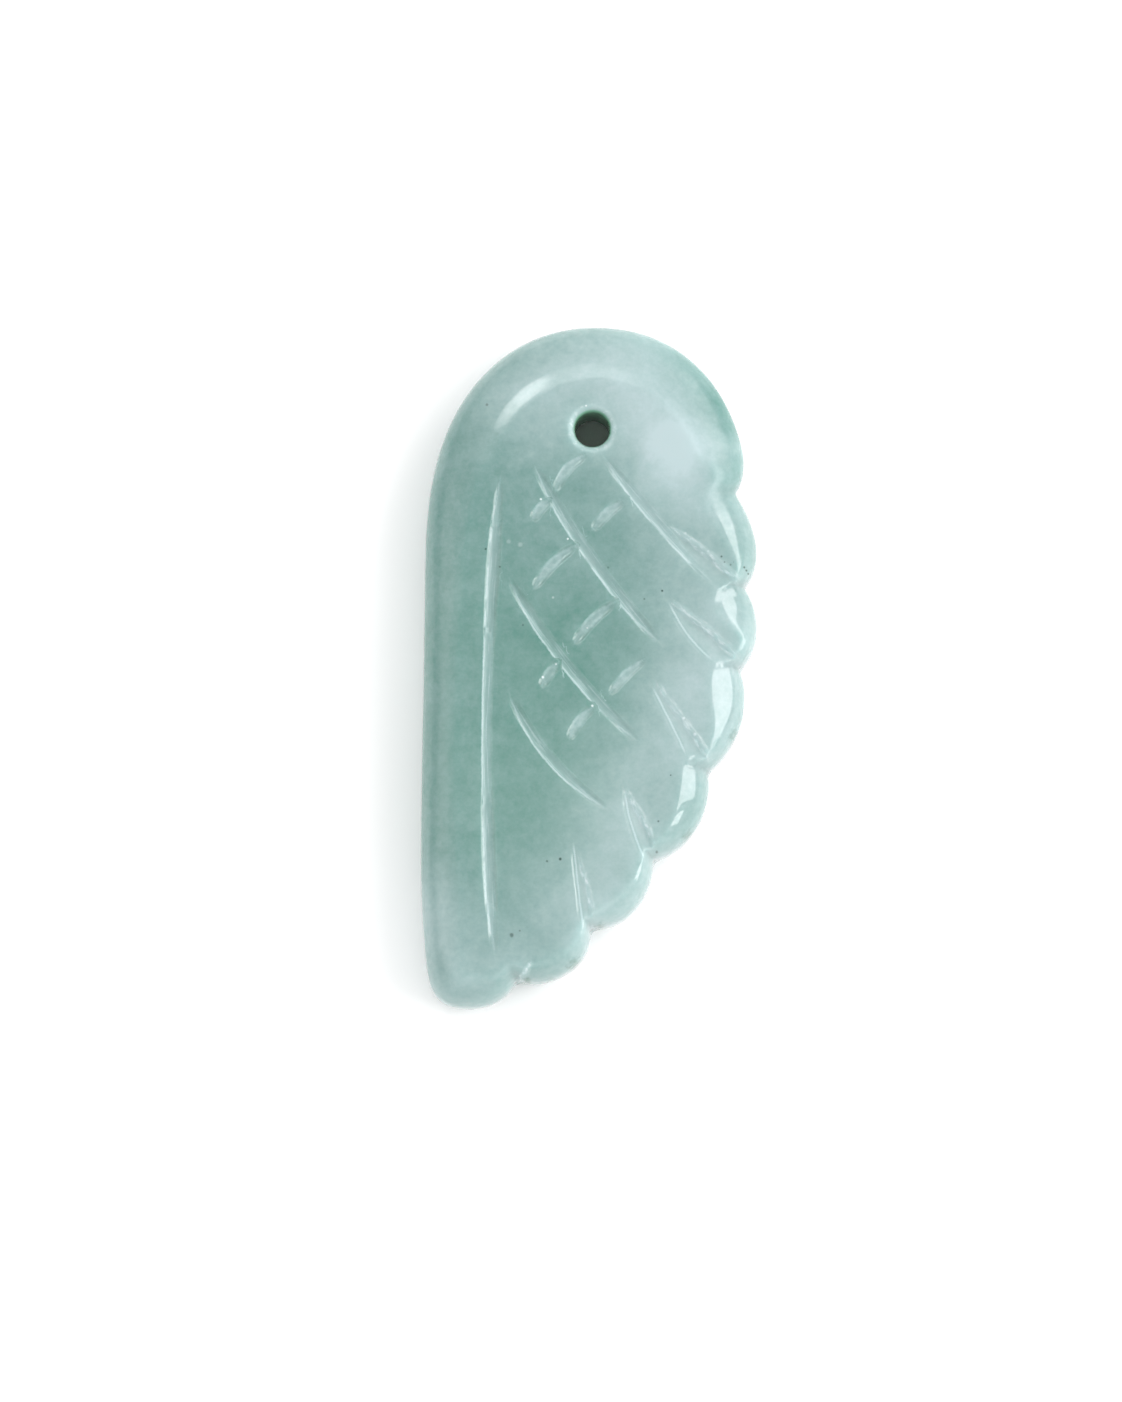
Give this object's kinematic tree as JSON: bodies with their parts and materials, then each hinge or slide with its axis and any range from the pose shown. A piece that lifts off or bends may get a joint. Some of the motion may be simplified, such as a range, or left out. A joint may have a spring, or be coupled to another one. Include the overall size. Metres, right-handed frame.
{
  "type": "jade wing charm",
  "caption": "Small carved jade wing with scalloped feathers, burr-cut barbs and a drilled hole near the shoulder for a jump ring.",
  "frame": {"origin": "middle of the stone's outline box, on the plane of its flat back", "axes": "+X across the wing from the straight leading edge to the feather tips, +Y along the wing towards the drilled shoulder, +Z out of the carved front"},
  "size_m": [0.0114, 0.023, 0.0032],
  "materials": {
    "jade": "polished translucent blue-green jade with milky clouds, frosted burr cuts"
  },
  "bodies": {
    "root": {"jade_wing": "jade"}
  },
  "joints": []
}
